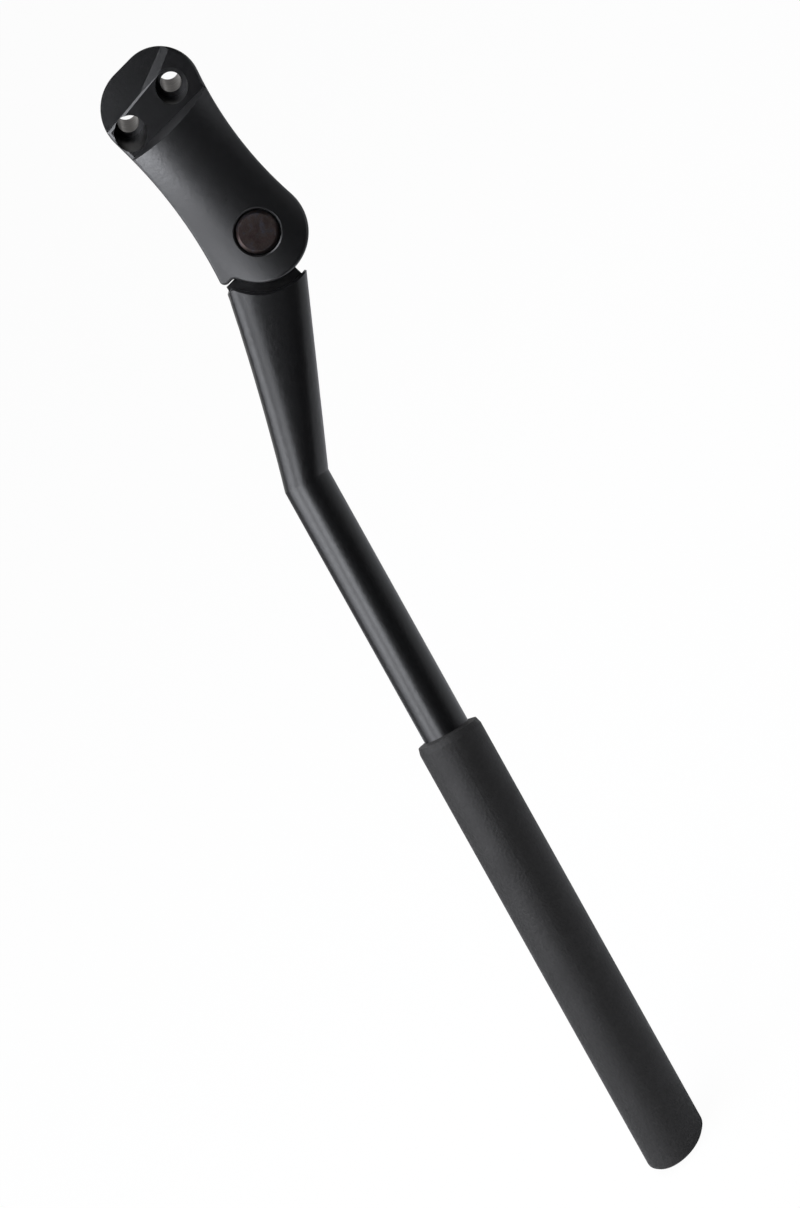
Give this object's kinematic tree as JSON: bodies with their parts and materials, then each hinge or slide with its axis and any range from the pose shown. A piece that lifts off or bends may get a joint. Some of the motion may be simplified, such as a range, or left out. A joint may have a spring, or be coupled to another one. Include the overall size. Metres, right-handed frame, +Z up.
{
  "type": "bicycle kickstand",
  "caption": "Rear-stay bicycle kickstand: cast head with a bolted face, leg on a pivot pin held by a detent spring, and a foot sleeve that slides along the rod.",
  "frame": {"origin": "midway between the two bolt holes, on the face that meets the bicycle's frame", "axes": "+Y inboard along the bolts, into the frame; +Z up; +X to the rear of the bicycle"},
  "size_m": [0.1271, 0.1532, 0.331],
  "materials": {
    "powder_coat": "satin black powder coat over aluminium",
    "pin_steel": "blackened turned steel",
    "spring_steel": "phosphated spring steel",
    "bearing_polymer": "moulded bearing polymer",
    "sleeve_plastic": "moulded black nylon, finely textured",
    "brass": "turned brass",
    "screw_steel": "black oxide steel"
  },
  "bodies": {
    "head": {"mount_head": "powder_coat", "pivot_pin": "pin_steel", "retaining_ring": "spring_steel", "detent_spring": "spring_steel"},
    "leg": {"leg": "powder_coat", "front_bush": "bearing_polymer", "rear_bush": "bearing_polymer"},
    "foot": {"foot_sleeve": "sleeve_plastic", "foot_insert": "brass", "foot_screw": "screw_steel"}
  },
  "joints": [
    {"name": "leg_fold", "type": "hinge", "parent": "head", "child": "leg", "pos_m": [-0.00297, -0.0284, -0.04767], "axis": [0.1885, -0.9265, 0.3256], "range_deg": [0, 108], "deforming": ["detent_spring"]},
    {"name": "foot_slide", "type": "slide", "parent": "leg", "child": "foot", "axis": [-0.2392, -0.3648, -0.8998], "range_m": [-0.025, 0.03]}
  ]
}
